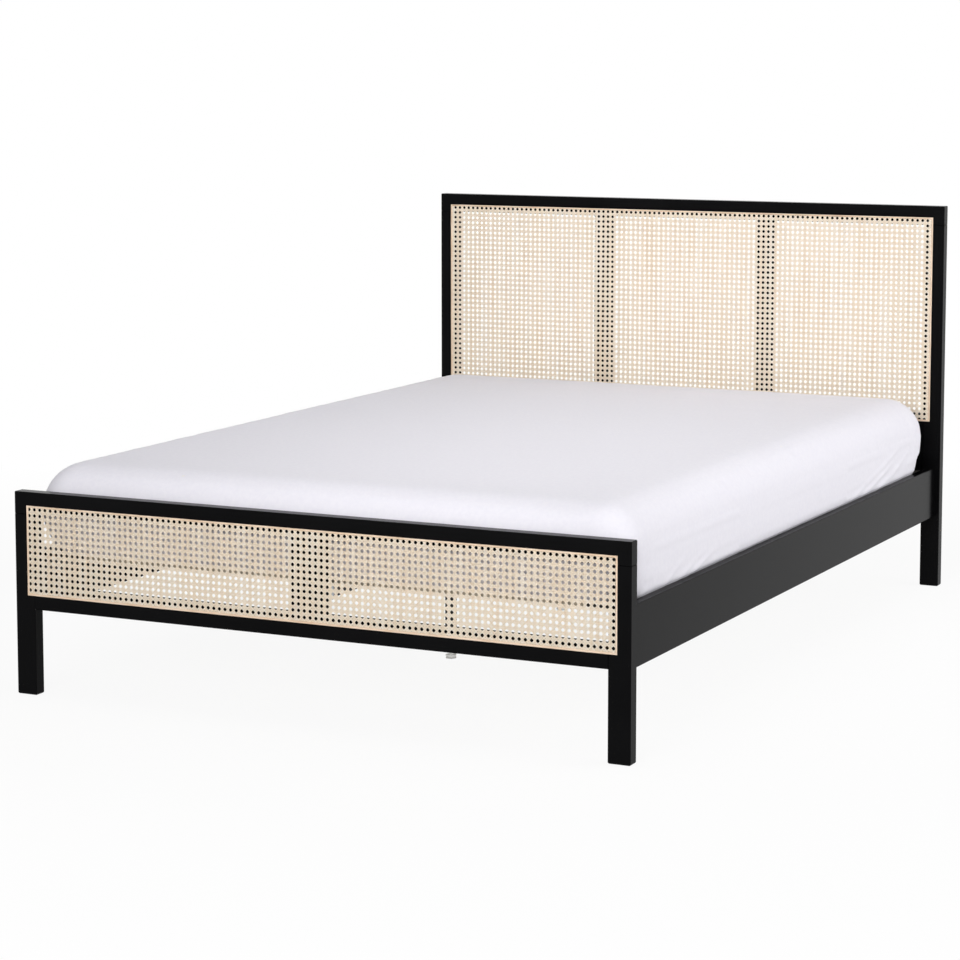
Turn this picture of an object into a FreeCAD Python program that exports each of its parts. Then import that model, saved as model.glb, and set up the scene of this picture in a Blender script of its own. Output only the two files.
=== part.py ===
import FreeCAD, Part
import math
import os

V = FreeCAD.Vector

# The mattress that the bed is made round, and the room left at its ends, in millimetres
mattress_width = 1400.0
mattress_length = 2000.0
mattress_height = 197.0
mattress_setback = 10.0
mattress_head_gap = 52.0

# Heights of the two end panels
head_height = 1007.0
foot_height = 453.0

# Frame stock: posts and rails of one section, with the cane let into the front face
stock_face = 50.0
stock_depth = 30.0
frame_border = 30.0
rebate_depth = 3.0
groove_width = 5.0
groove_depth = 5.0
edge_ease = 1.5
foot_ease = 2.5
foot_rail_base = 192.0
head_board_base = 187.0
head_board_height = 271.0
head_mullion_width = 50.0
foot_mullion_width = 80.0

# Cane and the reed spline that holds it in the groove
cane_thickness = 2.5
cane_pitch = 13.8
cane_hole = 5.8
cane_hole_sides = 8
cane_margin = 12.0
cells_per_gap = 4
spline_setback = 0.4
spline_ease = 1.2

# Loose tenons in the butt joints of both panels
tenon_width = 28.0
tenon_thickness = 8.0
tenon_length = 40.0
tenon_ease = 2.0
tenon_depth_share = 0.6

# Side rails and their hidden hook fittings
rail_base = 187.0
rail_height = 130.0
rail_thickness = 22.0
rail_inset = 13.0
plate_width = 14.0
plate_height = 100.0
plate_thickness = 2.5
hook_spacing = 56.0
hook_thickness = 2.5
hook_neck = 9.0
hook_drop = 9.0
hook_reach = 10.0

# Slatted base
slat_count = 15
slat_width = 70.0
slat_thickness = 16.0
slat_drop = 3.0
slat_ease = 3.0
slat_end_play = 2.0
slat_first_gap = 44.0
tape_width = 25.0
tape_thickness = 1.0
tape_offset = 430.0
ledge_width = 22.0
ledge_end_gap = 6.0

# Centre beam on hangers, and its two legs with levelling feet, fixed to one cheek of the beam
beam_width = 50.0
beam_height = 30.0
hanger_thickness = 2.5
hanger_flange = 12.0
hanger_seat = 36.0
leg_spread = 315.0
leg_side = 20.0
leg_wall = 2.0
leg_cap = 12.0
leg_drop = 4.0
pad_across = 24.0
pad_height = 8.0
pad_sides = 6
stud_diameter = 8.0
stud_length = 34.0
stud_showing = 12.0

# Soft form of the mattress, and its fitted sheet
mattress_corner = 80.0
mattress_bulge = 7.0
mattress_crown = 4.0
shoulder_turns = (0.0, 26.0, 50.0, 74.0)
base_level_shares = (0.0, 0.06, 0.3)
base_inset_shares = (0.35, -0.6, -1.0)
crown_inset_share = 2.2
sheet_thickness = 1.2
sheet_hem = 80.0

# Fits and working allowances
fit_gap = 0.15
soft_gap = 0.3
overrun = 5.0

# Positions that follow from the sizes above
half_width = mattress_width / 2 + rail_thickness + rail_inset
inner_end = (mattress_length + mattress_setback + mattress_head_gap) / 2
half_length = inner_end + stock_depth
post_inner = half_width - stock_face
cane_half = half_width - frame_border
lip = stock_face - frame_border
rail_outer = half_width - rail_inset
rail_inner = rail_outer - rail_thickness
rail_top = rail_base + rail_height
slat_top = rail_top - slat_drop
slat_base = slat_top - slat_thickness
beam_base = slat_base - beam_height
mattress_base = slat_top + sheet_thickness
mattress_front = mattress_setback - inner_end

HEAD = {
    "front": inner_end,
    "top": head_height,
    "rail_base": head_board_base,
    "rail_height": head_board_height,
    "rail_tenons": 3,
    "mullion_width": head_mullion_width,
    "mullions": 2,
}
FOOT = {
    "front": -half_length,
    "top": foot_height,
    "rail_base": foot_rail_base,
    "rail_height": stock_face,
    "rail_tenons": 1,
    "mullion_width": foot_mullion_width,
    "mullions": 1,
}


def box(x0, x1, y0, y1, z0, z1):
    return Part.makeBox(x1 - x0, y1 - y0, z1 - z0, V(x0, y0, z0))


def mirrored(shape, normal):
    return shape.mirror(V(0, 0, 0), normal)


def four_corners(shape):
    pair = [shape, mirrored(shape, V(1, 0, 0))]
    return pair + [mirrored(s, V(0, 1, 0)) for s in pair]


def eased(bar, along, ease, ends=()):
    """Breaks the long edges of a square bar, and the edges of the end faces named."""
    picked = []
    for edge in bar.Edges:
        a, b = [v.Point for v in edge.Vertexes]
        if abs((b - a).normalize().dot(along)) > math.cos(math.pi / 4):
            picked.append(edge)
    shape = bar.makeChamfer(ease, picked)
    for end in ends:
        reach = [(e, [v.Point.dot(along) for v in e.Vertexes]) for e in shape.Edges]
        rim = [e for e, spots in reach if all(abs(spot - end) < fit_gap for spot in spots)]
        shape = shape.makeChamfer(ease, rim)
    return shape


def rail_top_of(panel):
    return panel["rail_base"] + panel["rail_height"]


def cane_bounds(panel):
    """Lowest and highest level of the cane's opening in the frame's front face."""
    return rail_top_of(panel) - lip, panel["top"] - frame_border


def recess(panel):
    """Shallow rebate for the cane, with the spline's groove round its edge."""
    z0, z1 = cane_bounds(panel)
    front = panel["front"]
    floor = front + rebate_depth
    pocket = box(-cane_half, cane_half, front - overrun, floor, z0, z1)
    inner = cane_half - groove_width
    ring = box(-cane_half, cane_half, front, floor + groove_depth, z0, z1)
    core = box(-inner, inner, front, floor + groove_depth, z0 + groove_width, z1 - groove_width)
    return pocket.fuse(ring.cut(core))


def mullion_centres(panel):
    """Mullions leave equal openings between the posts."""
    count = panel["mullions"]
    width = panel["mullion_width"]
    opening = (2 * post_inner - count * width) / (count + 1)
    return [-post_inner + (i + 1) * opening + (i + 0.5) * width for i in range(count)]


def upright_tenon(x, y, z, gap):
    """Flat tenon standing across an upright's end joint."""
    wide, thick, tall = tenon_width / 2 + gap, tenon_thickness / 2 + gap, tenon_length / 2 + gap
    blank = box(x - wide, x + wide, y - thick, y + thick, z - tall, z + tall)
    return eased(blank, V(0, 0, 1), tenon_ease)


def level_tenon(x, y, z, gap):
    """The same tenon lying across a rail's end joint."""
    wide, thick, tall = tenon_width / 2 + gap, tenon_thickness / 2 + gap, tenon_length / 2 + gap
    blank = box(x - tall, x + tall, y - thick, y + thick, z - wide, z + wide)
    return eased(blank, V(1, 0, 0), tenon_ease)


def tenons(panel, gap):
    """Tenons of one panel, larger all round by the gap given."""
    y = panel["front"] + stock_depth * tenon_depth_share
    high = panel["top"] - stock_face
    count = panel["rail_tenons"]
    pitch = panel["rail_height"] / count
    made = []
    for side in (-1, 1):
        made.append(upright_tenon(side * (half_width - stock_face / 2), y, high, gap))
        for i in range(count):
            made.append(level_tenon(side * post_inner, y, panel["rail_base"] + (i + 0.5) * pitch, gap))
    for x in mullion_centres(panel):
        made += [upright_tenon(x, y, z, gap) for z in (rail_top_of(panel), high)]
    return made


def worked(blank, panel):
    """Cuts the cane's recess and the tenons' mortises into one member of a panel."""
    return blank.cut(recess(panel)).cut(tenons(panel, fit_gap))


def post(panel, side):
    y0 = panel["front"]
    blank = box(-half_width, -post_inner, y0, y0 + stock_depth, 0, panel["top"] - stock_face)
    blank = eased(blank, V(0, 0, 1), edge_ease)
    rim = [e for e in blank.Edges if all(abs(v.Point.z) < fit_gap for v in e.Vertexes)]
    blank = blank.makeChamfer(foot_ease, rim)
    if side > 0:
        blank = mirrored(blank, V(1, 0, 0))
    return worked(blank, panel).cut(slot_mortises())


def top_rail(panel):
    y0 = panel["front"]
    blank = box(-half_width, half_width, y0, y0 + stock_depth, panel["top"] - stock_face, panel["top"])
    return worked(eased(blank, V(1, 0, 0), edge_ease, (-half_width, half_width)), panel)


def lower_rail(panel):
    y0 = panel["front"]
    blank = box(-post_inner, post_inner, y0, y0 + stock_depth, panel["rail_base"], rail_top_of(panel))
    return worked(eased(blank, V(1, 0, 0), edge_ease), panel)


def mullion(panel, x):
    """Upright behind the cane, flush with the rebate's floor and the frame's back."""
    half = panel["mullion_width"] / 2
    y0 = panel["front"]
    z0, z1 = rail_top_of(panel), panel["top"] - stock_face
    blank = box(x - half, x + half, y0 + rebate_depth, y0 + stock_depth, z0, z1)
    return eased(blank, V(0, 0, 1), edge_ease).cut(tenons(panel, fit_gap))


def ring_of_points(sides, across, start):
    """Corners of a regular outline, closed, as pairs."""
    step = math.tau / sides
    radius = across / 2 / math.cos(step / 2)
    turns = [step * (i + start) for i in range(sides + 1)]
    return [(radius * math.cos(t), radius * math.sin(t)) for t in turns]


def cane_gap(x, z, across):
    """Opening between crossing pairs of strands and their two diagonals."""
    corners = ring_of_points(cane_hole_sides, across, 0.5)
    return Part.makePolygon([V(x + dx, 0, z + dz) for dx, dz in corners])


def cane(panel):
    """Flat cane net, each gap standing for a block of the weave's small openings."""
    z0, z1 = cane_bounds(panel)
    half = cane_half - groove_width - fit_gap
    low, high = z0 + groove_width + fit_gap, z1 - groove_width - fit_gap
    pitch = cane_pitch * cells_per_gap
    columns = int((2 * half - 2 * cane_margin) / pitch)
    rows = int((high - low - 2 * cane_margin) / pitch)
    corners = [(-half, low), (half, low), (half, high), (-half, high), (-half, low)]
    wires = [Part.makePolygon([V(x, 0, z) for x, z in corners])]
    for i in range(columns):
        for j in range(rows):
            x = (i - (columns - 1) / 2) * pitch
            z = (low + high) / 2 + (j - (rows - 1) / 2) * pitch
            wires.append(cane_gap(x, z, cane_hole * cells_per_gap))
    net = Part.makeFace(wires, "Part::FaceMakerBullseye")
    floor = panel["front"] + rebate_depth
    net.translate(V(0, floor, 0))
    return net.extrude(V(0, -cane_thickness, 0))


def spline(panel):
    """Reed bead pressed into the groove over the cane's edge."""
    z0, z1 = cane_bounds(panel)
    y0 = panel["front"] + spline_setback
    y1 = panel["front"] + rebate_depth + groove_depth
    out = cane_half - fit_gap
    inn = cane_half - groove_width + fit_gap
    ring = box(-out, out, y0, y1, z0 + fit_gap, z1 - fit_gap)
    shift = groove_width - fit_gap
    ring = ring.cut(box(-inn, inn, y0 - overrun, y1 + overrun, z0 + shift, z1 - shift))
    front = [e for e in ring.Edges if all(abs(v.Point.y - y0) < fit_gap for v in e.Vertexes)]
    return ring.makeChamfer(spline_ease, front)


def hook_levels():
    middle = rail_base + rail_height / 2
    return (middle - hook_spacing / 2, middle + hook_spacing / 2)


def plate_blank(y0, y1, gap):
    """Outline of the hook and slot plates at the left foot corner."""
    x = -(rail_outer + rail_inner) / 2
    half = plate_width / 2 + gap
    middle = rail_base + rail_height / 2
    tall = plate_height / 2 + gap
    return box(x - half, x + half, y0, y1, middle - tall, middle + tall)


def hook(level):
    """One hook: a neck through the slot and a nose that drops behind the plate."""
    x = -(rail_outer + rail_inner) / 2 - hook_thickness / 2
    back = -inner_end - plate_thickness - fit_gap
    nose = -inner_end - hook_reach
    profile = [
        V(x, -inner_end, level),
        V(x, -inner_end, level + hook_neck),
        V(x, nose, level + hook_neck),
        V(x, nose, level - hook_drop),
        V(x, back, level - hook_drop),
        V(x, back, level),
        V(x, -inner_end, level),
    ]
    return Part.Face(Part.makePolygon(profile)).extrude(V(hook_thickness, 0, 0))


def hook_plate():
    plate = plate_blank(-inner_end, plate_thickness - inner_end, 0)
    return plate.fuse([hook(level) for level in hook_levels()]).removeSplitter()


def slot(level, depth, gap):
    """Slot tall enough for a hook to enter before it drops."""
    x = -(rail_outer + rail_inner) / 2
    half = hook_thickness / 2 + gap
    y1 = -inner_end + overrun
    return box(x - half, x + half, -inner_end - depth, y1, level, level + hook_neck + hook_drop + gap)


def slot_plate():
    plate = plate_blank(-inner_end - plate_thickness, -inner_end, 0)
    return plate.cut([slot(level, plate_thickness + overrun, fit_gap) for level in hook_levels()])


def slot_mortises():
    """Seats for the slot plates in the four posts, with room for the hooks behind."""
    seat = plate_blank(-inner_end - plate_thickness, overrun - inner_end, fit_gap)
    for level in hook_levels():
        room = slot(level - hook_drop, hook_reach + fit_gap, fit_gap)
        room = room.fuse(slot(level, hook_reach + fit_gap, fit_gap))
        seat = seat.fuse(room)
    return four_corners(seat)


def side_rail(side):
    x0, x1 = sorted((side * rail_inner, side * rail_outer))
    blank = eased(box(x0, x1, -inner_end, inner_end, rail_base, rail_top), V(0, 1, 0), edge_ease)
    seat = plate_blank(-inner_end - overrun, plate_thickness - inner_end, fit_gap)
    return blank.cut(four_corners(seat))


def ledge(side):
    x0, x1 = sorted((side * rail_inner, side * (rail_inner - ledge_width)))
    end = inner_end - ledge_end_gap
    return eased(box(x0, x1, -end, end, beam_base, slat_base), V(0, 1, 0), edge_ease)


def slat(number):
    half = rail_inner - slat_end_play
    first = slat_first_gap - inner_end
    last = inner_end - slat_first_gap - slat_width
    y = first + (last - first) * number / (slat_count - 1)
    return eased(box(-half, half, y, y + slat_width, slat_base, slat_top), V(1, 0, 0), slat_ease)


def tape(side):
    """Webbing that ties the slats, fixed along their undersides."""
    x = side * tape_offset
    end = inner_end - slat_first_gap - slat_ease
    return box(x - tape_width / 2, x + tape_width / 2, -end, end, slat_base - tape_thickness, slat_base)


def centre_beam():
    end = inner_end - hanger_thickness
    blank = box(-beam_width / 2, beam_width / 2, -end, end, beam_base, slat_base)
    return eased(blank, V(0, 1, 0), edge_ease)


def hanger():
    """Folded steel saddle: back plate with two ears, seat and cheeks."""
    half = beam_width / 2 + fit_gap
    out = half + hanger_thickness
    ear = out + hanger_flange
    base = beam_base - hanger_thickness
    y0 = -inner_end
    y1 = y0 + hanger_thickness
    back = box(-ear, ear, y0, y1, base, slat_base - slat_ease)
    saddle = box(-out, out, y0, y0 + hanger_seat, base, slat_base - slat_ease)
    well = box(-half, half, y1, y0 + hanger_seat + overrun, beam_base, slat_base)
    return back.fuse(saddle).cut(well).removeSplitter()


def leg_place(side):
    """Middle of a leg, which stands against the left cheek of the beam."""
    return -(beam_width + leg_side) / 2, side * leg_spread


def stud(side, radius, z0, z1):
    x, y = leg_place(side)
    return Part.makeCylinder(radius, z1 - z0, V(x, y, z0), V(0, 0, 1))


def centre_leg(side):
    """Square tube with a closed foot end, tapped for the stud."""
    x, y = leg_place(side)
    out = leg_side / 2
    inn = out - leg_wall
    low = pad_height + stud_showing
    top = slat_base - leg_drop
    tube = box(x - out, x + out, y - out, y + out, low, top)
    bore = box(x - inn, x + inn, y - inn, y + inn, low + leg_cap, top)
    tapping = stud(side, stud_diameter / 2 + fit_gap, low - overrun, low + leg_cap + overrun)
    return tube.cut(bore).cut(tapping)


def levelling_foot(side):
    """Six-sided pad, turned by hand, with a stud that screws up into the leg."""
    x, y = leg_place(side)
    corners = ring_of_points(pad_sides, pad_across, 0)
    rim = Part.makePolygon([V(x + dx, y + dy, 0) for dx, dy in corners])
    pad = Part.Face(rim).extrude(V(0, 0, pad_height))
    return pad.fuse(stud(side, stud_diameter / 2, 0, pad_height + stud_length)).removeSplitter()


def rounded_outline(inset, z):
    """Mattress outline at one level: straight sides joined by quarter-turn corners."""
    half = mattress_width / 2 - inset
    y0 = mattress_front + inset
    y1 = mattress_front + mattress_length - inset
    r = max(mattress_corner - inset, soft_gap)
    k = r * (1 - math.sqrt(0.5))
    spans = [
        ((half - r, y0), (half - k, y0 + k), (half, y0 + r)),
        ((half, y1 - r), (half - k, y1 - k), (half - r, y1)),
        ((r - half, y1), (k - half, y1 - k), (-half, y1 - r)),
        ((-half, y0 + r), (k - half, y0 + k), (r - half, y0)),
    ]
    corners = [[V(x, y, z) for x, y in span] for span in spans]
    edges = []
    for i, corner in enumerate(corners):
        edges.append(Part.Arc(*corner).toShape())
        edges.append(Part.makeLine(corner[2], corners[(i + 1) % len(corners)][0]))
    return Part.Wire(edges)


def soft_profile():
    """Shares of the mattress's height, with the inset of its outline at each."""
    rows = list(zip(base_level_shares, [i * mattress_bulge for i in base_inset_shares]))
    shoulder_top = mattress_height - mattress_crown
    for turn in shoulder_turns:
        angle = math.radians(turn)
        level = shoulder_top - mattress_corner * (1 - math.sin(angle))
        swell = mattress_bulge * math.cos(angle) ** 2
        rows.append((level / mattress_height, mattress_corner * (1 - math.cos(angle)) - swell))
    rows.append((1, crown_inset_share * mattress_corner))
    return rows


def cushion(base, grow):
    """Mattress form: drawn-in base edge, full sides, broad rounded shoulder and a crown."""
    tall = mattress_base + mattress_height + grow - base
    wires = [rounded_outline(inset - grow, base + share * tall) for share, inset in soft_profile()]
    return Part.makeLoft(wires, True, True)


def mattress():
    return cushion(mattress_base, 0)


def fitted_sheet():
    """Cloth skin round the top and sides, with a hem drawn in under the mattress."""
    skin = cushion(slat_top, soft_gap + sheet_thickness).cut(cushion(mattress_base, soft_gap))
    half = mattress_width / 2 - sheet_hem
    y0 = mattress_front + sheet_hem
    y1 = mattress_front + mattress_length - sheet_hem
    return skin.cut(box(-half, half, y0, y1, slat_top - overrun, mattress_base + soft_gap))


def head_parts():
    left, right = mullion_centres(HEAD)
    return {
        "headboard_left_post": post(HEAD, -1),
        "headboard_right_post": post(HEAD, 1),
        "headboard_top_rail": top_rail(HEAD),
        "headboard_lower_board": lower_rail(HEAD),
        "headboard_left_mullion": mullion(HEAD, left),
        "headboard_right_mullion": mullion(HEAD, right),
        "headboard_cane": cane(HEAD),
        "headboard_spline": spline(HEAD),
        "headboard_tenons": Part.makeCompound(tenons(HEAD, 0)),
    }


def foot_parts():
    return {
        "footboard_left_post": post(FOOT, -1),
        "footboard_right_post": post(FOOT, 1),
        "footboard_top_rail": top_rail(FOOT),
        "footboard_bottom_rail": lower_rail(FOOT),
        "footboard_mullion": mullion(FOOT, mullion_centres(FOOT)[0]),
        "footboard_cane": cane(FOOT),
        "footboard_spline": spline(FOOT),
        "footboard_tenons": Part.makeCompound(tenons(FOOT, 0)),
    }


def base_parts():
    parts = {
        "left_side_rail": side_rail(-1),
        "right_side_rail": side_rail(1),
        "left_slat_ledge": ledge(-1),
        "right_slat_ledge": ledge(1),
        "rail_hook_plates": Part.makeCompound(four_corners(hook_plate())),
        "post_slot_plates": Part.makeCompound(four_corners(slot_plate())),
        "centre_beam": centre_beam(),
        "foot_beam_hanger": hanger(),
        "head_beam_hanger": mirrored(hanger(), V(0, 1, 0)),
        "front_centre_leg": centre_leg(-1),
        "rear_centre_leg": centre_leg(1),
        "front_levelling_foot": levelling_foot(-1),
        "rear_levelling_foot": levelling_foot(1),
        "left_slat_tape": tape(-1),
        "right_slat_tape": tape(1),
        "mattress": mattress(),
        "fitted_sheet": fitted_sheet(),
    }
    for number in range(slat_count):
        parts["slat_%02d" % (number + 1)] = slat(number)
    return parts


os.makedirs("parts", exist_ok=True)
parts = {**head_parts(), **foot_parts(), **base_parts()}
for name, shape in parts.items():
    shape.exportStep("parts/" + name + ".step")
    print(name, shape.isValid(), len(shape.Solids), round(shape.Volume))
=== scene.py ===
import math

import bpy
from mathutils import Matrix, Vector, noise


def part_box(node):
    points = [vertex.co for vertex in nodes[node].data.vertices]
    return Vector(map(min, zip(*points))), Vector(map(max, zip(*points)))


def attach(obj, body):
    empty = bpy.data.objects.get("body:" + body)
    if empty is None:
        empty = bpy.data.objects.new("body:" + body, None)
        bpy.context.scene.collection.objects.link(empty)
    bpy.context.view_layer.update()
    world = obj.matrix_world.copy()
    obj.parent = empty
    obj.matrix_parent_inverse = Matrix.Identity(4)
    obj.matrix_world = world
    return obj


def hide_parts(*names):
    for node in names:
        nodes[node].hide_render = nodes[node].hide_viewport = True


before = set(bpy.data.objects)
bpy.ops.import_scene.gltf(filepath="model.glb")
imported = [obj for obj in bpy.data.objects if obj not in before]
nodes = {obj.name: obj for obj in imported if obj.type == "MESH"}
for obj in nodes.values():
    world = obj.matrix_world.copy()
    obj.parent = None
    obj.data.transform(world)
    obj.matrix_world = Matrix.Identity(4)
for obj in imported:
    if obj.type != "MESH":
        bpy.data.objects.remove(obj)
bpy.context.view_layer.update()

MM = 0.001
SELECT_MODES = {"vertices": "VERT", "edges": "EDGE", "polygons": "FACE"}


# Small helpers

def paint(code):
    """An sRGB hex colour as the linear colour that a shader takes."""
    parts = [int(code[i:i + 2], 16) / 255 for i in (1, 3, 5)]
    return [c / 12.92 if c <= 0.04045 else ((c + 0.055) / 1.055) ** 2.4 for c in parts] + [1.0]


def add(tree, kind, links=(), stops=(), **settings):
    """Adds a node, sets its fields, sockets and (place, hex) colour stops, and links each
    (socket, source) pair to it."""
    node = tree.nodes.new(kind)
    for i, (place, code) in enumerate(stops):
        bar = node.color_ramp.elements
        stop = bar[i] if i < len(bar) else bar.new(1.0)
        stop.position = place
        stop.color = paint(code)
    for name, value in settings.items():
        if hasattr(node, name):
            setattr(node, name, value)
        else:
            node.inputs[name.replace("_", " ")].default_value = value
    for socket, source in links:
        tree.links.new(source, node.inputs[socket])
    return node


def finish_named(name):
    """A new material with an empty tree, its shader and its output."""
    made = bpy.data.materials.new(name)
    made.use_nodes = True
    tree = made.node_tree
    tree.nodes.clear()
    shader = add(tree, "ShaderNodeBsdfPrincipled")
    add(tree, "ShaderNodeOutputMaterial", [("Surface", shader.outputs[0])])
    return made, tree, shader


def put(material, *names):
    """Gives CAD nodes a finish."""
    for name in names:
        mesh = nodes[name].data
        mesh.materials.clear()
        mesh.materials.append(material)


def clear_selection():
    """Leaves edit mode and selects nothing."""
    if bpy.context.object and bpy.context.object.mode != "OBJECT":
        bpy.ops.object.mode_set(mode="OBJECT")
    bpy.ops.object.select_all(action="DESELECT")


def take(obj):
    """Makes an object the only one selected, and the active one."""
    clear_selection()
    obj.select_set(True)
    bpy.context.view_layer.objects.active = obj


def pick(mesh, kind, test):
    """Selects, in edit mode, the elements whose middle passes the test."""
    bpy.ops.mesh.select_mode(type=SELECT_MODES[kind])
    bpy.ops.mesh.select_all(action="DESELECT")
    bpy.ops.object.mode_set(mode="OBJECT")
    for item in getattr(mesh, kind):
        if kind == "vertices":
            middle = item.co
        elif kind == "polygons":
            middle = item.center
        else:
            a, b = (mesh.vertices[i].co for i in item.vertices)
            middle = (a + b) / 2
        item.select = test(middle)
    bpy.ops.object.mode_set(mode="EDIT")


def apply_all(obj):
    """Applies an object's modifiers in their order."""
    take(obj)
    for modifier in list(obj.modifiers):
        bpy.ops.object.modifier_apply(modifier=modifier.name)


def settle(obj):
    """Moves an object's place into its mesh."""
    take(obj)
    bpy.ops.object.transform_apply(location=True, rotation=True, scale=True)


# Finishes

# Painted shade on timber ends: a distance beyond every end, the width of its edge, and the tone it leaves
ENDS_UNSHADED = 10.0
PAINTED_SHADE_EDGE = 2 * MM
PAINTED_SHADE_TONE = 0.02
# A wave texture of scale 1 repeats at this distance
WAVE_SPAN = math.tau / 20


def satin_lacquer():
    """Black polyurethane lacquer sprayed on timber: deep, even black with a low satin shine and a
    faint ripple left by the spray."""
    made, tree, shader = finish_named("satin_black_lacquer")
    place = add(tree, "ShaderNodeTexCoord").outputs["Object"]
    ripple = add(tree, "ShaderNodeTexNoise", [("Vector", place)], Scale=1 / (6 * MM), Detail=2.0)
    cloud = add(tree, "ShaderNodeTexNoise", [("Vector", place)], Scale=1 / (180 * MM), Detail=3.0)
    shades = [(0.3, "#080809"), (0.7, "#0c0c0d")]
    tone = add(tree, "ShaderNodeValToRGB", [("Fac", cloud.outputs["Fac"])], stops=shades)
    rough = add(tree, "ShaderNodeMapRange", [("Value", cloud.outputs["Fac"])], To_Min=0.17, To_Max=0.23)
    bump = add(tree, "ShaderNodeBump", [("Height", ripple.outputs["Fac"])], Strength=0.05, Distance=0.3 * MM)
    tree.links.new(tone.outputs["Color"], shader.inputs["Base Color"])
    tree.links.new(rough.outputs["Result"], shader.inputs["Roughness"])
    tree.links.new(bump.outputs["Normal"], shader.inputs["Normal"])
    shader.inputs["IOR"].default_value = 1.5
    shader.inputs["Specular IOR Level"].default_value = 0.035
    return made


def split_cane(name, turn):
    """Peeled rattan skin: pale straw, thin enough to let some light through, with a soft shine and
    fine fibres. Turn lays the fibres along the strand."""
    made, tree, shader = finish_named(name)
    place = add(tree, "ShaderNodeTexCoord").outputs["Object"]
    drawn_out = (1, 1, 0.06)
    along = add(tree, "ShaderNodeMapping", [("Vector", place)], Rotation=(0, turn, 0), Scale=drawn_out)
    fibre = add(tree, "ShaderNodeTexNoise", [("Vector", along.outputs[0])], Scale=1 / (0.9 * MM), Detail=3.0)
    batch = add(tree, "ShaderNodeTexNoise", [("Vector", along.outputs[0])], Scale=1 / (14 * MM), Detail=2.0)
    pair = [(0, fibre.outputs["Fac"]), (1, batch.outputs["Fac"])]
    both = add(tree, "ShaderNodeMath", pair, operation="ADD")
    mean = add(tree, "ShaderNodeMath", [(0, both.outputs[0])], operation="MULTIPLY")
    mean.inputs[1].default_value = 0.5
    shades = [(0.34, "#f0dcc1"), (0.5, "#fdf0dc"), (0.66, "#fffaf2")]
    tone = add(tree, "ShaderNodeValToRGB", [("Fac", mean.outputs[0])], stops=shades)
    bump = add(tree, "ShaderNodeBump", [("Height", fibre.outputs["Fac"])], Strength=0.25, Distance=0.2 * MM)
    tree.links.new(tone.outputs["Color"], shader.inputs["Base Color"])
    tree.links.new(bump.outputs["Normal"], shader.inputs["Normal"])
    shader.inputs["Roughness"].default_value = 0.5
    shader.inputs["Transmission Weight"].default_value = 0.38
    return made


def reed():
    """Round reed core pressed into the groove: warmer and drier than the cane, with fine
    pores."""
    made, tree, shader = finish_named("reed_spline")
    place = add(tree, "ShaderNodeTexCoord").outputs["Object"]
    pores = add(tree, "ShaderNodeTexNoise", [("Vector", place)], Scale=1 / (1.2 * MM), Detail=3.0)
    cloud = add(tree, "ShaderNodeTexNoise", [("Vector", place)], Scale=1 / (60 * MM), Detail=2.0)
    pair = [(0, pores.outputs["Fac"]), (1, cloud.outputs["Fac"])]
    both = add(tree, "ShaderNodeMath", pair, operation="ADD")
    mean = add(tree, "ShaderNodeMath", [(0, both.outputs[0])], operation="MULTIPLY")
    mean.inputs[1].default_value = 0.5
    shades = [(0.35, "#d9b99a"), (0.5, "#e8cfb6"), (0.65, "#f0dcc6")]
    tone = add(tree, "ShaderNodeValToRGB", [("Fac", mean.outputs[0])], stops=shades)
    bump = add(tree, "ShaderNodeBump", [("Height", pores.outputs["Fac"])], Strength=0.3, Distance=0.2 * MM)
    tree.links.new(tone.outputs["Color"], shader.inputs["Base Color"])
    tree.links.new(bump.outputs["Normal"], shader.inputs["Normal"])
    shader.inputs["Roughness"].default_value = 0.6
    return made


def planed_timber(name, dark, middle, light, roughness, shade_from=ENDS_UNSHADED):
    """Planed timber: long grain lines across the bed and a slow drift of tone from board to board.
    Beyond the given distance from the bed's middle line the ends are darkened to near black: painted shade."""
    made, tree, shader = finish_named(name)
    place = add(tree, "ShaderNodeTexCoord").outputs["Object"]
    along = add(tree, "ShaderNodeMapping", [("Vector", place)], Scale=(0.05, 1, 1))
    grain = add(tree, "ShaderNodeTexNoise", [("Vector", along.outputs[0])],
                Scale=1 / (5 * MM), Detail=5.0, Distortion=0.6)
    board = add(tree, "ShaderNodeTexNoise", [("Vector", place)], Scale=1 / (250 * MM), Detail=1.0)
    pair = [(0, grain.outputs["Fac"]), (1, board.outputs["Fac"])]
    both = add(tree, "ShaderNodeMath", pair, operation="ADD")
    mean = add(tree, "ShaderNodeMath", [(0, both.outputs[0])], operation="MULTIPLY")
    mean.inputs[1].default_value = 0.5
    shades = [(0.36, dark), (0.5, middle), (0.62, light)]
    tone = add(tree, "ShaderNodeValToRGB", [("Fac", mean.outputs[0])], stops=shades)
    bump = add(tree, "ShaderNodeBump", [("Height", grain.outputs["Fac"])], Strength=0.15, Distance=0.3 * MM)
    parts = add(tree, "ShaderNodeSeparateXYZ", [("Vector", place)])
    side = add(tree, "ShaderNodeMath", [(0, parts.outputs["X"])], operation="ABSOLUTE")
    # Painted shade: timber beyond the given distance from the middle line is darkened to near black
    ends = add(tree, "ShaderNodeMapRange", [("Value", side.outputs[0])],
               From_Min=shade_from, From_Max=shade_from + PAINTED_SHADE_EDGE, To_Min=1.0, To_Max=PAINTED_SHADE_TONE)
    shading = [("Vector", tone.outputs["Color"]), ("Scale", ends.outputs["Result"])]
    wood = add(tree, "ShaderNodeVectorMath", shading, operation="SCALE")
    tree.links.new(wood.outputs["Vector"], shader.inputs["Base Color"])
    tree.links.new(bump.outputs["Normal"], shader.inputs["Normal"])
    shader.inputs["Roughness"].default_value = roughness
    return made


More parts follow.
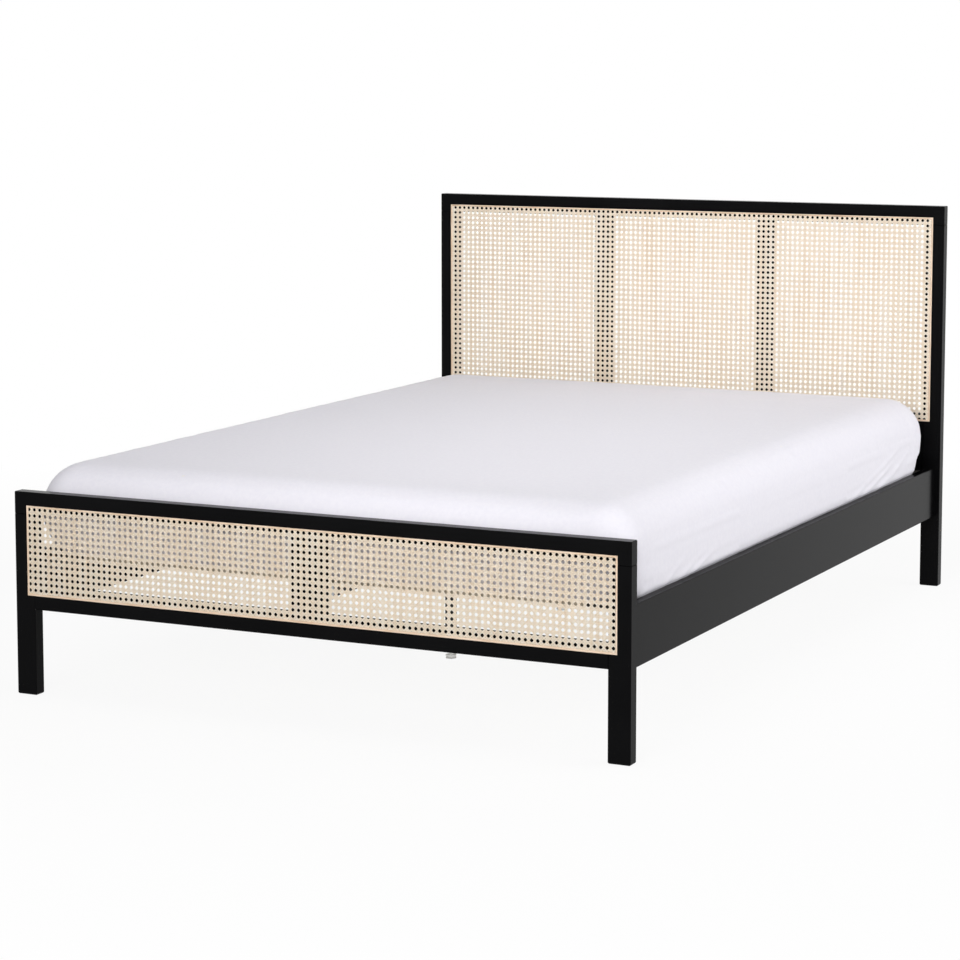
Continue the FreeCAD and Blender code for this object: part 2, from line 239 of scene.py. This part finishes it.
def zinc_plate():
    """Bright zinc on pressed steel: a bluish grey metal with soft cloudy patches."""
    made, tree, shader = finish_named("zinc_plated_steel")
    place = add(tree, "ShaderNodeTexCoord").outputs["Object"]
    cloud = add(tree, "ShaderNodeTexNoise", [("Vector", place)], Scale=1 / (9 * MM), Detail=3.0)
    shades = [(0.35, "#a3a8ad"), (0.65, "#c2c6ca")]
    tone = add(tree, "ShaderNodeValToRGB", [("Fac", cloud.outputs["Fac"])], stops=shades)
    rough = add(tree, "ShaderNodeMapRange", [("Value", cloud.outputs["Fac"])], To_Min=0.28, To_Max=0.42)
    tree.links.new(tone.outputs["Color"], shader.inputs["Base Color"])
    tree.links.new(rough.outputs["Result"], shader.inputs["Roughness"])
    shader.inputs["Metallic"].default_value = 1.0
    return made


def natural_nylon():
    """Uncoloured moulded nylon: milky and frosted, so that the floor's light comes through it."""
    made, tree, shader = finish_named("natural_nylon")
    place = add(tree, "ShaderNodeTexCoord").outputs["Object"]
    cloud = add(tree, "ShaderNodeTexNoise", [("Vector", place)], Scale=1 / (5 * MM), Detail=2.0)
    shades = [(0.35, "#f2f1ee"), (0.65, "#fbfbf9")]
    tone = add(tree, "ShaderNodeValToRGB", [("Fac", cloud.outputs["Fac"])], stops=shades)
    rough = add(tree, "ShaderNodeMapRange", [("Value", cloud.outputs["Fac"])], To_Min=0.3, To_Max=0.45)
    tree.links.new(tone.outputs["Color"], shader.inputs["Base Color"])
    tree.links.new(rough.outputs["Result"], shader.inputs["Roughness"])
    shader.inputs["IOR"].default_value = 1.53
    shader.inputs["Transmission Weight"].default_value = 0.85
    return made


def powder_coat():
    """Baked black powder coat on steel tube: a matte skin with a fine even grit."""
    made, tree, shader = finish_named("black_powder_coat")
    place = add(tree, "ShaderNodeTexCoord").outputs["Object"]
    grain = add(tree, "ShaderNodeTexNoise", [("Vector", place)], Scale=1 / (0.6 * MM), Detail=2.0)
    shades = [(0.35, "#0b0b0b"), (0.65, "#161616")]
    tone = add(tree, "ShaderNodeValToRGB", [("Fac", grain.outputs["Fac"])], stops=shades)
    bump = add(tree, "ShaderNodeBump", [("Height", grain.outputs["Fac"])], Strength=0.3, Distance=0.2 * MM)
    tree.links.new(tone.outputs["Color"], shader.inputs["Base Color"])
    tree.links.new(bump.outputs["Normal"], shader.inputs["Normal"])
    shader.inputs["Roughness"].default_value = 0.55
    return made


def woven_cotton(name, dark, light, thread, depth):
    """Plain woven cotton: threads that cross, soft and matte with a slight bloom at the edges. The
    threads are drawn coarser than the real ones so that they show."""
    made, tree, shader = finish_named(name)
    place = add(tree, "ShaderNodeTexCoord").outputs["Object"]
    warp, weft, fall = (
        add(tree, "ShaderNodeTexWave", [("Vector", place)], bands_direction=axis, Scale=WAVE_SPAN / thread)
        for axis in "XYZ"
    )
    two = add(tree, "ShaderNodeMath", [(0, warp.outputs["Fac"]), (1, weft.outputs["Fac"])], operation="ADD")
    three = add(tree, "ShaderNodeMath", [(0, two.outputs[0]), (1, fall.outputs["Fac"])], operation="ADD")
    slub = add(tree, "ShaderNodeTexNoise", [("Vector", place)], Scale=1 / (9 * MM), Detail=3.0)
    shades = [(0.35, dark), (0.65, light)]
    tone = add(tree, "ShaderNodeValToRGB", [("Fac", slub.outputs["Fac"])], stops=shades)
    bump = add(tree, "ShaderNodeBump", [("Height", three.outputs[0])], Strength=depth, Distance=0.2 * MM)
    tree.links.new(tone.outputs["Color"], shader.inputs["Base Color"])
    tree.links.new(bump.outputs["Normal"], shader.inputs["Normal"])
    shader.inputs["Roughness"].default_value = 0.85
    shader.inputs["Sheen Weight"].default_value = 0.15
    shader.inputs["Sheen Roughness"].default_value = 0.5
    return made


def quilted_knit():
    """Knitted mattress cover quilted to thin foam: warm white, with shallow pillows between the
    stitch lines."""
    made, tree, shader = finish_named("quilted_knit_cover")
    place = add(tree, "ShaderNodeTexCoord").outputs["Object"]
    cell = add(tree, "ShaderNodeTexVoronoi", [("Vector", place)], Scale=1 / (70 * MM), Randomness=0.0)
    knit = add(tree, "ShaderNodeTexNoise", [("Vector", place)], Scale=1 / (2 * MM), Detail=2.0)
    shades = [(0.3, "#dedad2"), (0.7, "#ebe8e2")]
    tone = add(tree, "ShaderNodeValToRGB", [("Fac", knit.outputs["Fac"])], stops=shades)
    bump = add(tree, "ShaderNodeBump", [("Height", cell.outputs["Distance"])],
               Strength=0.5, Distance=6 * MM, invert=True)
    tree.links.new(tone.outputs["Color"], shader.inputs["Base Color"])
    tree.links.new(bump.outputs["Normal"], shader.inputs["Normal"])
    shader.inputs["Roughness"].default_value = 0.9
    return made


# Cane webbing, woven from strands

CANE_PITCH = 13.8 * MM
# From a panel's lower left corner to the middle of its first opening
FIRST_HOLE = {"headboard_cane": (9.85 * MM, 0.85 * MM), "footboard_cane": (2.6 * MM, 8 * MM)}
STRAND_THICK = 1.1 * MM
PAIR_GAP = 3.3 * MM
UPRIGHT_WIDTH = 3.0 * MM
SLANT_WIDTH = 3.0 * MM
WEAVE_LIFT = 0.55 * MM
# A strand's width at its face, as a share of its width behind
FACE_SHARE = 0.6
# In strand thicknesses: how deep the weave lies, and how far the slants stand forward of it
CANE_DEPTH = 1.6
SLANT_FORWARD = -0.3


def strand_cell(name, width, length, lifts, layer):
    """One cell's run of a strand, along Z and facing -Y: a flat ribbon, narrower at its face, whose
    ends and middle ride over or under their neighbours by the lifts given."""
    clear_selection()
    bpy.ops.mesh.primitive_cube_add(size=1, location=(0, 0, 0))
    cell = bpy.context.object
    cell.name = name
    cell.scale = (width, STRAND_THICK, length)
    settle(cell)
    bpy.ops.object.mode_set(mode="EDIT")
    pick(cell.data, "edges", lambda m: abs(m.z) < length / 4)
    bpy.ops.mesh.subdivide(number_cuts=1)
    pick(cell.data, "polygons", lambda m: abs(m.z) > 0.49 * length)
    bpy.ops.mesh.delete(type="ONLY_FACE")
    pick(cell.data, "vertices", lambda c: c.y < 0)
    bpy.ops.transform.resize(value=(FACE_SHARE, 1, 1))
    bpy.ops.object.mode_set(mode="OBJECT")
    for v in cell.data.vertices:
        v.co.y += layer + (lifts[1] if abs(v.co.z) < length / 4 else lifts[0])
    return cell


def lay(cell, turn, spots):
    """Joins copies of a strand's cell, turned in the panel's plane and set at the spots given."""
    copies = []
    for x, z in spots:
        twin = cell.copy()
        twin.data = cell.data.copy()
        bpy.context.collection.objects.link(twin)
        twin.rotation_euler = (0, turn, 0)
        twin.location = (x, 0, z)
        copies.append(twin)
    clear_selection()
    for twin in copies:
        twin.select_set(True)
    bpy.context.view_layer.objects.active = copies[0]
    bpy.ops.object.join()
    made = bpy.context.object
    settle(made)
    return made


def fill_panel(cell, name, panel, material):
    """Repeats a woven cell over a panel, trims it to the spline and sets it on the rebate."""
    low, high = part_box(panel)
    take(cell)
    cell.name = name
    columns = math.ceil((high.x - low.x) / CANE_PITCH) + 2
    rows = math.ceil((high.z - low.z) / CANE_PITCH) + 2
    for axis, count in ((0, columns), (2, rows)):
        array = cell.modifiers.new("repeat", "ARRAY")
        array.count = count
        array.use_relative_offset = False
        array.use_constant_offset = True
        array.constant_offset_displace = [CANE_PITCH if i == axis else 0 for i in range(3)]
    apply_all(cell)
    depth = high.y - STRAND_THICK * CANE_DEPTH
    column, row = FIRST_HOLE[panel]
    cell.location = (low.x + column - CANE_PITCH, depth, low.z + row - CANE_PITCH)
    settle(cell)
    bpy.ops.object.mode_set(mode="EDIT")
    for point, normal in ((low, (-1, 0, 0)), (high, (1, 0, 0)), (low, (0, 0, -1)), (high, (0, 0, 1))):
        bpy.ops.mesh.select_all(action="SELECT")
        bpy.ops.mesh.bisect(plane_co=point, plane_no=normal, clear_outer=True, use_fill=False)
    bpy.ops.object.mode_set(mode="OBJECT")
    cell.data.materials.clear()
    cell.data.materials.append(material)
    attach(cell, "frame")
    return cell


def woven_panel(panel, title, finishes):
    """Uprights and crossers in close pairs, with one slanting strand each way that cuts the
    corners of every opening to an eight-sided hole."""
    p = CANE_PITCH
    edge = p / 2 - PAIR_GAP / 2
    upright = strand_cell("upright", UPRIGHT_WIDTH, p, (WEAVE_LIFT, -WEAVE_LIFT / 2), 0)
    uprights = lay(upright, 0, [(-edge, 0), (edge, 0)])
    crosser = strand_cell("crosser", UPRIGHT_WIDTH, p, (-WEAVE_LIFT, WEAVE_LIFT / 2), 0)
    crossers = lay(crosser, math.pi / 2, [(0, -edge), (0, edge)])
    run = p * math.sqrt(0.5)
    rising = strand_cell("rising", SLANT_WIDTH, run, (0, -WEAVE_LIFT), STRAND_THICK * SLANT_FORWARD)
    falling = strand_cell("falling", SLANT_WIDTH, run, (-WEAVE_LIFT, 0), STRAND_THICK * SLANT_FORWARD)
    q = p / 4
    rising_pair = lay(rising, math.pi / 4, [(-q, q), (q, -q)])
    falling_pair = lay(falling, -math.pi / 4, [(q, q), (-q, -q)])
    for seed in (upright, crosser, rising, falling):
        bpy.data.objects.remove(seed)
    cells = {"uprights": uprights, "crossers": crossers, "rising": rising_pair, "falling": falling_pair}
    for word, cell in cells.items():
        fill_panel(cell, title + "_cane_" + word, panel, finishes[word])
    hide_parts(panel)


# Mattress and fitted sheet

# The soft form: radius of its shoulders, rise of its crown and fullness of its sides
SHOULDER = 80 * MM
CROWN = 4 * MM
BULGE = 7 * MM
# Cloth turned under the base, and the mesh cells of the mattress and the sheet
HEM = 80 * MM
MATTRESS_CELL = 22 * MM
SHEET_CELL = 14 * MM
SHEET_WALL = 0.5 * MM
# The cloth simulation: its length, the farthest a point may go, the band held at the hem, its gap
# from the mattress, the first ruffle, and how far spare cloth reaches from a corner and a side
LAST_STEP = 10
MOST_MOVE = 14 * MM
HELD_BAND = 6 * MM
CLOTH_GAP = 0.8 * MM
RUFFLE = 0.8 * MM
RUFFLE_SIZE = 60 * MM
SPARE_REACH = 0.22
SIDE_BAND = 0.05

# How far the sides, and the corners beyond them, stand out at shares of the height
SIDE_STEPS = ((0, -0.35 * BULGE), (0.06, 0.6 * BULGE), (0.3, BULGE), (1, BULGE))
CORNER_STEPS = ((0, -22 * MM), (0.12, -6 * MM), (0.3, 9 * MM), (0.5, 12 * MM), (0.75, 5 * MM), (1, 0))


def at_level(steps, level):
    """Reads a run of (share, distance) steps, straight between them."""
    for (low, small), (high, big) in zip(steps, steps[1:]):
        if level <= high:
            return small + (big - small) * max(0, level - low) / (high - low)
    return steps[-1][1]


def soft_form(point, low, high):
    """Carries a point on a square block to the mattress's soft form: broad shoulders, corners
    rounded in plan and drawn in at the base, full sides and a low crown."""
    centre = (low + high) / 2
    half = (high - low) / 2
    x, y, z = point - centre
    near = Vector((
        max(SHOULDER - half.x, min(half.x - SHOULDER, x)),
        max(SHOULDER - half.y, min(half.y - SHOULDER, y)),
        max(-half.z, min(half.z - SHOULDER, z)),
    ))
    off = Vector((x, y, z)) - near
    if off.length > 0:
        off = off.normalized() * max(abs(off.x), abs(off.y), abs(off.z))
    spot = near + off
    level = (spot.z + half.z) / (2 * half.z)
    side = Vector((off.x, off.y, 0))
    if side.length > 0:
        way = side.normalized()
        stand = at_level(SIDE_STEPS, level) + 2 * abs(way.x * way.y) * at_level(CORNER_STEPS, level)
        spot += way * stand * min(1, side.length / SHOULDER)
    rise = (1 - (x / half.x) ** 2) * (1 - (y / half.y) ** 2)
    spot.z += CROWN * rise * max(0, 2 * level - 1)
    return spot + centre


def covered_block(name, low, high, cell, hem):
    """A grid for the top, with its sides and the hem under the base extruded from the rim, then
    carried to the mattress's soft form."""
    size = high - low
    middle = (low + high) / 2
    columns, rows, drops, turns = (round(span / cell) for span in (size.x, size.y, size.z, hem))
    clear_selection()
    bpy.ops.mesh.primitive_grid_add(
        x_subdivisions=columns, y_subdivisions=rows, size=1, location=(middle.x, middle.y, high.z))
    made = bpy.context.object
    made.name = name
    made.scale = (size.x, size.y, 1)
    settle(made)
    bpy.ops.object.mode_set(mode="EDIT")
    bpy.ops.mesh.select_all(action="SELECT")
    bpy.ops.mesh.region_to_loop()
    for _ in range(drops):
        bpy.ops.mesh.extrude_region_move(TRANSFORM_OT_translate={"value": (0, 0, -size.z / drops)})
    step = hem / turns * 2
    for i in range(turns):
        wide, long = size.x - i * step, size.y - i * step
        bpy.ops.mesh.extrude_region_move()
        shrink = ((wide - step) / wide, (long - step) / long, 1)
        bpy.ops.transform.resize(value=shrink, center_override=(middle.x, middle.y, low.z))
    bpy.ops.object.mode_set(mode="OBJECT")
    for v in made.data.vertices:
        v.co = soft_form(v.co, low, high)
    return made


def face_outwards(piece):
    """Turns a mesh's faces outwards and smooths it."""
    take(piece)
    bpy.ops.object.mode_set(mode="EDIT")
    bpy.ops.mesh.select_all(action="SELECT")
    bpy.ops.mesh.normals_make_consistent(inside=False)
    bpy.ops.object.mode_set(mode="OBJECT")
    bpy.ops.object.shade_smooth()


def foam_mattress(low, high, material):
    """The mattress under the sheet, closed across its base."""
    made = covered_block("foam_mattress", low, high, MATTRESS_CELL, HEM)
    take(made)
    bpy.ops.object.mode_set(mode="EDIT")
    bpy.ops.mesh.select_mode(type="EDGE")
    bpy.ops.mesh.select_all(action="DESELECT")
    bpy.ops.mesh.select_non_manifold(extend=False)
    bpy.ops.mesh.edge_face_add()
    bpy.ops.object.mode_set(mode="OBJECT")
    face_outwards(made)
    made.data.materials.append(material)
    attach(made, "mattress")
    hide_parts("mattress")
    return made


def slack(point, low, high):
    """Spare cloth, from 0 to 1: none on the top, most low on the sides beside each corner."""
    middle = (low + high) / 2
    half = (high - low) / 2
    along = min(half.x - abs(point.x - middle.x), half.y - abs(point.y - middle.y))
    far = max(half.x - abs(point.x - middle.x), half.y - abs(point.y - middle.y))
    beside = math.exp(-(far / SPARE_REACH) ** 2)
    level = (point.z - low.z) / (high.z - low.z)
    return beside * max(0, 1 - level) * (1 if along < SIDE_BAND else 0)


def wear(sheet, mattress, low, high):
    """Pulls the sheet over the mattress as cloth: the hem is held, the mattress pushes back, and
    cloth is let out a little low beside the corners."""
    hem = sheet.vertex_groups.new(name="hem")
    spare = sheet.vertex_groups.new(name="spare")
    start = [v.co.copy() for v in sheet.data.vertices]
    for v in sheet.data.vertices:
        if v.co.z < low.z + HELD_BAND:
            hem.add([v.index], 1.0, "REPLACE")
        spare.add([v.index], slack(v.co, low, high), "REPLACE")
        v.co += v.normal * (RUFFLE * noise.noise(v.co / RUFFLE_SIZE))
    mattress.modifiers.new("push", "COLLISION")
    mattress.collision.thickness_outer = CLOTH_GAP
    mattress.collision.cloth_friction = 8
    cloth = sheet.modifiers.new("wear", "CLOTH")
    rules = cloth.settings
    rules.quality = 4
    rules.mass = 0.15
    rules.tension_stiffness = 40
    rules.compression_stiffness = 25
    rules.shear_stiffness = 12
    rules.bending_stiffness = 0.25
    rules.vertex_group_mass = "hem"
    rules.vertex_group_shrink = "spare"
    rules.shrink_min = 0.0
    rules.shrink_max = -0.05
    cloth.collision_settings.distance_min = CLOTH_GAP
    cloth.point_cache.frame_end = LAST_STEP
    for step in range(1, LAST_STEP + 1):
        bpy.context.scene.frame_set(step)
    apply_all(sheet)
    bpy.context.scene.frame_set(1)
    mattress.modifiers.clear()
    for v, home in zip(sheet.data.vertices, start):
        move = v.co - home
        if move.length > MOST_MOVE:
            v.co = home + move.normalized() * MOST_MOVE
    sheet.vertex_groups.clear()


# Creases on a side, each from (distance from the corner, height) to the same, with its depth
HEAD_CREASES = (
    ((520 * MM, 4 * MM), (270 * MM, 62 * MM), 3.2 * MM),
    ((490 * MM, 30 * MM), (190 * MM, 98 * MM), 2.6 * MM),
    ((430 * MM, 2 * MM), (230 * MM, 44 * MM), 3.0 * MM),
    ((350 * MM, 4 * MM), (130 * MM, 74 * MM), 2.2 * MM),
    ((600 * MM, 2 * MM), (440 * MM, 40 * MM), 1.8 * MM),
)
FOOT_CREASES = (
    ((270 * MM, 2 * MM), (420 * MM, 44 * MM), 2.2 * MM),
    ((320 * MM, 2 * MM), (500 * MM, 40 * MM), 2.6 * MM),
    ((200 * MM, 4 * MM), (330 * MM, 54 * MM), 1.8 * MM),
)
CREASE_WIDTH = 6 * MM
CREASE_TAPER = 0.7
CREASE_WANDER = 14 * MM
WANDER_SIZE = 400 * MM
# Where creases may lie: along a side from its corner, in from its face, and up from its base
CREASES_ALONG = (0.1, 0.63)
CREASES_INWARD = 12 * MM
CREASES_UP = (1 * MM, 112 * MM)


def crease_rise(creases, spot):
    """How far the cloth stands out at a (distance from the corner, height) on a side."""
    rise = 0
    for (u0, v0), (u1, v1), depth in creases:
        run = Vector((u1 - u0, v1 - v0))
        from_start = Vector(spot) - Vector((u0, v0))
        share = from_start.dot(run) / run.length_squared
        if 0 < share < 1:
            off = (from_start - run * share).length / CREASE_WIDTH
            rise += depth * math.sin(math.pi * share) ** CREASE_TAPER * math.exp(-off * off)
    return rise


def crease(sheet, low, high):
    """Cuts the cloth finer low on the sides beside the corners and raises the creases there."""
    middle = (low + high) / 2
    half = (high - low) / 2

    def place(c):
        near_x, near_y = half.x - abs(c.x - middle.x), half.y - abs(c.y - middle.y)
        return (near_y if near_x < near_y else near_x), min(near_x, near_y), c.z - low.z

    def beside(c):
        along, inward, up = place(c)
        on_side = CREASES_ALONG[0] < along < CREASES_ALONG[1] and inward < CREASES_INWARD
        return on_side and CREASES_UP[0] < up < CREASES_UP[1]

    take(sheet)
    bpy.ops.object.mode_set(mode="EDIT")
    pick(sheet.data, "polygons", beside)
    bpy.ops.mesh.subdivide(number_cuts=2)
    bpy.ops.object.mode_set(mode="OBJECT")
    normals = [v.normal.copy() for v in sheet.data.vertices]
    for v, normal in zip(sheet.data.vertices, normals):
        if beside(v.co):
            along, inward, up = place(v.co)
            wander = CREASE_WANDER * noise.noise(v.co / WANDER_SIZE + middle)
            creases = HEAD_CREASES if v.co.y > middle.y else FOOT_CREASES
            v.co += normal * crease_rise(creases, (along + 3 * wander, up + wander / 2))


def fitted_sheet(mattress, low, high, material):
    """The sheet over the mattress: pulled on, creased, then given the cloth's thickness."""
    made = covered_block("cotton_fitted_sheet", low, high, SHEET_CELL, HEM)
    face_outwards(made)
    wear(made, mattress, low, high)
    crease(made, low, high)
    wall = made.modifiers.new("cloth", "SOLIDIFY")
    wall.thickness = SHEET_WALL
    wall.offset = -1
    apply_all(made)
    made.data.materials.append(material)
    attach(made, "mattress")
    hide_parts("fitted_sheet")


# Dressing the bed

lacquer = satin_lacquer()
put(lacquer, *[n for n in nodes if n.endswith(("_post", "_rail", "_board", "_mullion"))])
put(reed(), "headboard_spline", "footboard_spline")
black_stain = planed_timber("black_stained_timber", "#0d0d0d", "#141414", "#1b1a19", 0.5)
put(black_stain, "left_slat_ledge", "right_slat_ledge", "centre_beam")
# The slats' ends, beyond 600 mm from the middle line, carry painted shade where they run in beside the side
# rails
pine = planed_timber("planed_pine", "#cdbfa8", "#dcd0bb", "#e9e0cf", 0.55, 600 * MM)
put(pine, *[n for n in nodes if n.startswith("slat_")])
beech = planed_timber("raw_beech", "#b98f63", "#cda678", "#dbb98f", 0.6)
put(beech, "headboard_tenons", "footboard_tenons")
put(zinc_plate(), "rail_hook_plates", "post_slot_plates", "foot_beam_hanger", "head_beam_hanger")
put(powder_coat(), "front_centre_leg", "rear_centre_leg")
put(natural_nylon(), "front_levelling_foot", "rear_levelling_foot")
tape = woven_cotton("cotton_tape", "#c6bfae", "#d8d2c3", 2 * MM, 0.5)
put(tape, "left_slat_tape", "right_slat_tape")

cane_finishes = {
    "uprights": split_cane("split_cane_upright", 0),
    "crossers": split_cane("split_cane_crosser", math.pi / 2),
    "rising": split_cane("split_cane_rising", -math.pi / 4),
    "falling": split_cane("split_cane_falling", math.pi / 4),
}
woven_panel("headboard_cane", "headboard", cane_finishes)
woven_panel("footboard_cane", "footboard", cane_finishes)

# Room left in the CAD block for the soft form, below and above, and the sheet's way outside it
room_below = Vector((7, 7, 0.6)) * MM
room_above = Vector((7, 7, 4)) * MM
over = Vector((1.5, 1.5, 1.5)) * MM
bed_low, bed_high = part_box("mattress")
bed_low += room_below
bed_high -= room_above
mattress = foam_mattress(bed_low, bed_high, quilted_knit())
sheet_cotton = woven_cotton("plain_cotton_sheet", "#dedce4", "#e1dfe6", 2.2 * MM, 0.05)
fitted_sheet(mattress, bed_low - over, bed_high + over, sheet_cotton)


# Studio: pale floor, soft light, and a camera at the photograph's angle

WHITE = (1, 1, 1, 1)
FLOOR_SIZE = 60
FLOOR_DROP = -0.2 * MM
# The floor's share of white, from near the bed to where its shadow ends
SHADOW_REACH = (1.6, 3.2)
SHADOW_WHITE = (0.92, 1.0)
# The surround's brightest way, and its strength from the dark side to the bright one
BRIGHT_WAY = (0.45, 0.3, 0.68)
SURROUND_SPAN = (-0.5, 0.9)
SURROUND_STRENGTH = (0.085, 0.41)
# Each softbox: place, aim, size, watts and spread in degrees
SOFTBOXES = {
    "right_softbox": ((5.0, 1.0, 2.2), (0, 0, 0.4), (4.0, 2.5), 138, 180),
    "front_softbox": ((1.0, -7.0, 2.2), (0, 0.5, 0.6), (4.0, 3.0), 275, 180),
    "overhead_softbox": ((0.2, -0.9, 3.0), (0, 1.0, 0.7), (2.0, 1.2), 19, 180),
    "headboard_softbox": ((0.8, -3.2, 1.75), (0, 1.03, 0.8), (1.2, 0.5), 4.0, 44),
}
# The camera's place, its angles in degrees, its sensor and focal length in millimetres
CAMERA_PLACE = (2.8738, -6.1553, 1.4312)
CAMERA_DOWN = 6.478
CAMERA_TURN = 25.88
SENSOR_WIDTH = 36
FOCAL_LENGTH = 106.335
FRAME_SHIFT = -0.12
FARTHEST_SEEN = 100


def sees_white(tree):
    """1 for the camera's rays, and for those it sends on by gloss or through thin cane."""
    seen = add(tree, "ShaderNodeLightPath")
    rays = [(0, seen.outputs["Is Camera Ray"]), (1, seen.outputs["Is Glossy Ray"])]
    gloss = add(tree, "ShaderNodeMath", rays, operation="MAXIMUM")
    rays = [(0, gloss.outputs[0]), (1, seen.outputs["Is Transmission Ray"])]
    return add(tree, "ShaderNodeMath", rays, operation="MAXIMUM").outputs[0]


def studio_floor():
    """White floor that takes a faint shadow, and that a view from below looks through."""
    clear_selection()
    bpy.ops.mesh.primitive_plane_add(size=FLOOR_SIZE, location=(0, 0, FLOOR_DROP))
    floor = bpy.context.object
    floor.name = "studio_floor"
    made = bpy.data.materials.new("white_floor")
    made.use_nodes = True
    tree = made.node_tree
    tree.nodes.clear()
    matte = add(tree, "ShaderNodeBsdfDiffuse", Color=paint("#f4f4f4"))
    glow = add(tree, "ShaderNodeEmission", Color=WHITE, Strength=1.0)
    place = add(tree, "ShaderNodeTexCoord")
    away = add(tree, "ShaderNodeVectorMath", [(0, place.outputs["Object"])], operation="LENGTH")
    near, far = SHADOW_REACH
    shaded, clear = SHADOW_WHITE
    fade = add(tree, "ShaderNodeMapRange", [("Value", away.outputs["Value"])],
               From_Min=near, From_Max=far, To_Min=shaded, To_Max=clear)
    seen_white = [(0, sees_white(tree)), (1, fade.outputs["Result"])]
    share = add(tree, "ShaderNodeMath", seen_white, operation="MULTIPLY")
    coat = [("Fac", share.outputs[0]), (1, matte.outputs[0]), (2, glow.outputs[0])]
    mix = add(tree, "ShaderNodeMixShader", coat)
    side = add(tree, "ShaderNodeNewGeometry")
    below = add(tree, "ShaderNodeBsdfTransparent")
    faces = [("Fac", side.outputs["Backfacing"]), (1, mix.outputs[0]), (2, below.outputs[0])]
    both = add(tree, "ShaderNodeMixShader", faces)
    add(tree, "ShaderNodeOutputMaterial", [("Surface", both.outputs[0])])
    floor.data.materials.append(made)


def studio_world():
    """Pale surround, brighter above and to the right; the camera sees it as white."""
    world = bpy.data.worlds.new("studio")
    bpy.context.scene.world = world
    world.use_nodes = True
    tree = world.node_tree
    tree.nodes.clear()
    way = add(tree, "ShaderNodeTexCoord")
    bright = add(tree, "ShaderNodeVectorMath", [(0, way.outputs["Generated"])], operation="DOT_PRODUCT")
    bright.inputs[1].default_value = BRIGHT_WAY
    start, end = SURROUND_SPAN
    dim, strong = SURROUND_STRENGTH
    level = add(tree, "ShaderNodeMapRange", [("Value", bright.outputs["Value"])],
                From_Min=start, From_Max=end, To_Min=dim, To_Max=strong)
    lit = add(tree, "ShaderNodeBackground", [("Strength", level.outputs["Result"])], Color=WHITE)
    white = add(tree, "ShaderNodeBackground", Color=WHITE, Strength=1.0)
    surround = [("Fac", sees_white(tree)), (1, lit.outputs[0]), (2, white.outputs[0])]
    mix = add(tree, "ShaderNodeMixShader", surround)
    add(tree, "ShaderNodeOutputWorld", [("Surface", mix.outputs[0])])


def softbox(name, place, aim, size, watts, spread):
    """A soft rectangular lamp turned to its aim."""
    data = bpy.data.lights.new(name, "AREA")
    data.shape = "RECTANGLE"
    data.size, data.size_y = size
    data.energy = watts
    data.spread = math.radians(spread)
    lamp = bpy.data.objects.new(name, data)
    bpy.context.collection.objects.link(lamp)
    lamp.location = place
    lamp.rotation_euler = (Vector(aim) - Vector(place)).to_track_quat("-Z", "Y").to_euler()


def photo_camera():
    """The camera fitted to the photograph, with a smaller shift so that other views stay in frame."""
    data = bpy.data.cameras.new("photo_camera")
    data.sensor_width = SENSOR_WIDTH
    data.lens = FOCAL_LENGTH
    data.shift_y = FRAME_SHIFT
    data.clip_end = FARTHEST_SEEN
    camera = bpy.data.objects.new("photo_camera", data)
    bpy.context.collection.objects.link(camera)
    camera.location = CAMERA_PLACE
    camera.rotation_euler = (math.radians(90 - CAMERA_DOWN), 0, math.radians(CAMERA_TURN))
    bpy.context.scene.camera = camera


studio_floor()
studio_world()
for name, settings in SOFTBOXES.items():
    softbox(name, *settings)
photo_camera()
bpy.context.scene.view_settings.view_transform = "Standard"
